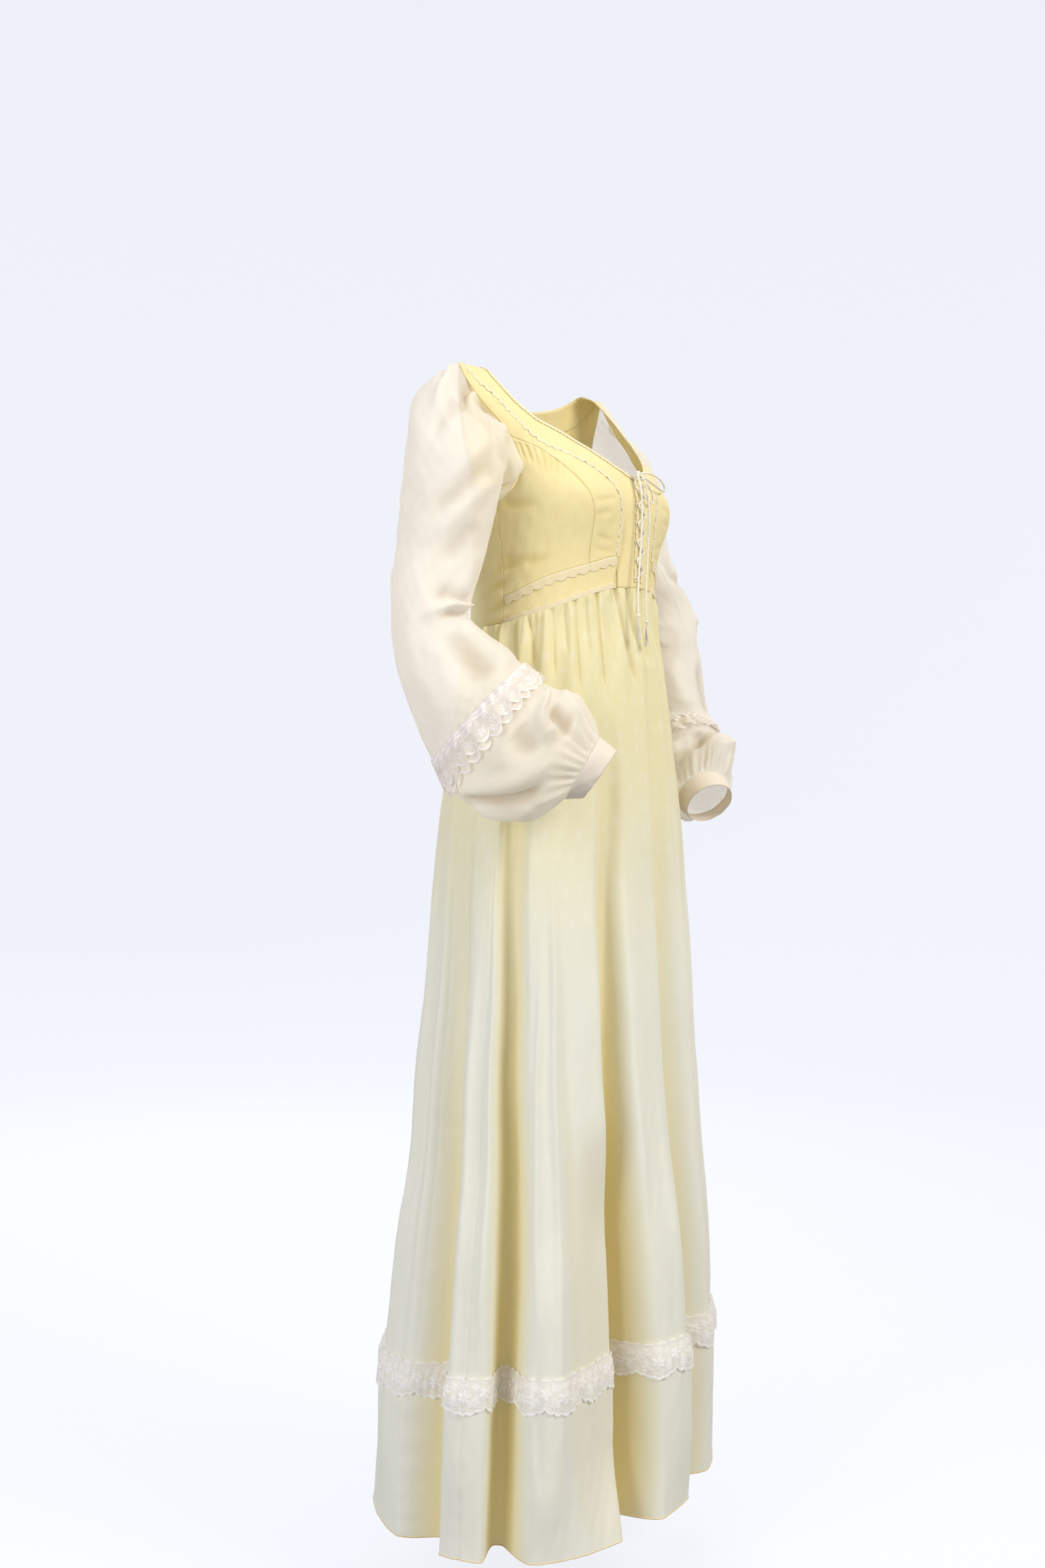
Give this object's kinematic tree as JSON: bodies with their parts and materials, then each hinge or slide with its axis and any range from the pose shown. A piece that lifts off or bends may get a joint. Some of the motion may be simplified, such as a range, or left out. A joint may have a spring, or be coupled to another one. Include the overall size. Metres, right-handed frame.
{
  "type": "maxi dress",
  "caption": "Full-length dress in its hollow worn form, with a laced front, a midriff band, gathered sheer sleeves with lace frills and a full skirt with a lace-topped flounce",
  "frame": {"origin": "midway between the two shoulders, where the wearer holds the dress up; +Z is up, the front faces -Y and the wearer's right side is at -X", "axes": "the dress is longest along Z, from the shoulders to the hem"},
  "size_m": [0.5902, 0.4057, 1.3895],
  "materials": {
    "voile": "matt, fine crinkled voile",
    "sheer": "matt, sheer voile",
    "lace": "matt, raised cotton lace",
    "cord": "soft, twisted cotton cord"
  },
  "bodies": {
    "root": {"front_band_right": "voile", "cup_panel_right": "voile", "side_panel_right": "voile", "midriff_right": "voile", "front_band_left": "voile", "cup_panel_left": "voile", "side_panel_left": "voile", "midriff_left": "voile", "back_neck_band": "voile", "back_bodice": "voile", "skirt_front": "voile", "skirt_gore_left": "voile", "skirt_back": "voile", "skirt_gore_right": "voile", "flounce_front": "voile", "flounce_back": "voile", "sleeve_right": "sheer", "sleeve_puff_right": "sheer", "cuff_right": "sheer", "sleeve_left": "sheer", "sleeve_puff_left": "sheer", "cuff_left": "sheer", "skirt_lace": "lace", "sleeve_lace_right": "lace", "neck_edging_right": "lace", "band_trim_right": "lace", "midriff_top_trim_right": "lace", "midriff_bottom_trim_right": "lace", "lacing_edging_right": "lace", "sleeve_lace_left": "lace", "neck_edging_left": "lace", "band_trim_left": "lace", "midriff_top_trim_left": "lace", "midriff_bottom_trim_left": "lace", "lacing_edging_left": "lace", "neck_edging_back": "lace", "lacing_cord": "cord", "bow_knot": "cord", "bow_loop_upper": "cord", "bow_loop_lower": "cord", "cord_end_right": "cord", "cord_end_left": "cord", "tassel_right": "cord", "tassel_left": "cord"}
  },
  "joints": []
}
